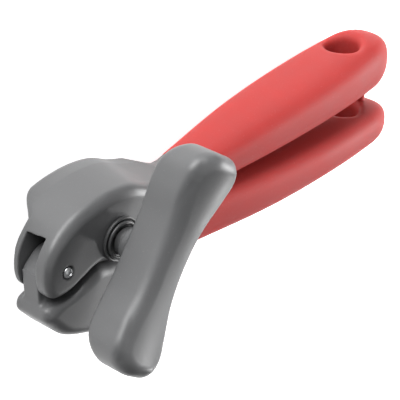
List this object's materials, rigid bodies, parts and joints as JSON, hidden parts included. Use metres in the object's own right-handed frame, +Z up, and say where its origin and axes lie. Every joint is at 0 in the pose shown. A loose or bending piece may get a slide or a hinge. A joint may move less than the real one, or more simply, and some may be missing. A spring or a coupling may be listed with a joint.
{
  "type": "manual can opener",
  "caption": "Hand can opener with two pivoting jaws on soft red grips, a grey turning key, and a toothed drive wheel and cutting wheel behind the jaws.",
  "frame": {"origin": "on the table, under the middle of the opener's box", "axes": "+X from the grips' ends towards the jaws, +Y towards the lower handle, +Z up along the pivot and the key's shaft"},
  "size_m": [0.1932, 0.0714, 0.0574],
  "materials": {
    "jaw_grey": "satin moulded plastic",
    "bushing_grey": "satin moulded plastic",
    "grip_red": "soft-touch matte",
    "steel": "plain steel",
    "pin_steel": "polished",
    "blade_steel": "ground"
  },
  "bodies": {
    "upper_arm": {"upper_jaw": "jaw_grey", "upper_grip": "grip_red", "upper_core": "steel", "upper_core_pin": "steel", "shaft_bushing": "bushing_grey", "thrust_washer": "bushing_grey", "rear_plate": "steel", "rear_plate_screw_front": "steel", "rear_plate_screw_rear": "steel", "pivot_pin": "pin_steel", "pivot_washer": "steel"},
    "key_drive": {"turning_key": "jaw_grey", "drive_shaft": "steel", "drive_wheel": "steel", "drive_washer": "steel", "drive_nut": "steel"},
    "lower_arm": {"lower_jaw": "jaw_grey", "lower_grip": "grip_red", "lower_core": "steel", "lower_core_pin": "steel", "stop_bumper": "grip_red", "cutter_axle": "steel", "cutter_washer": "steel"},
    "cutter": {"cutting_wheel": "blade_steel"}
  },
  "joints": [
    {"name": "handles_open", "type": "hinge", "parent": "upper_arm", "child": "lower_arm", "pos_m": [0.08715, 0.0022, 0.0144], "axis": [0, 0, -1], "range_deg": [0, 32]},
    {"name": "key_turn", "type": "hinge", "parent": "upper_arm", "child": "key_drive", "pos_m": [0.06265, 0, 0.0264], "axis": [0, 0, 1], "continuous": true},
    {"name": "cutter_spin", "type": "hinge", "parent": "lower_arm", "child": "cutter", "pos_m": [0.06265, 0.0148, 0.0034], "axis": [0, 0, 1], "continuous": true}
  ]
}
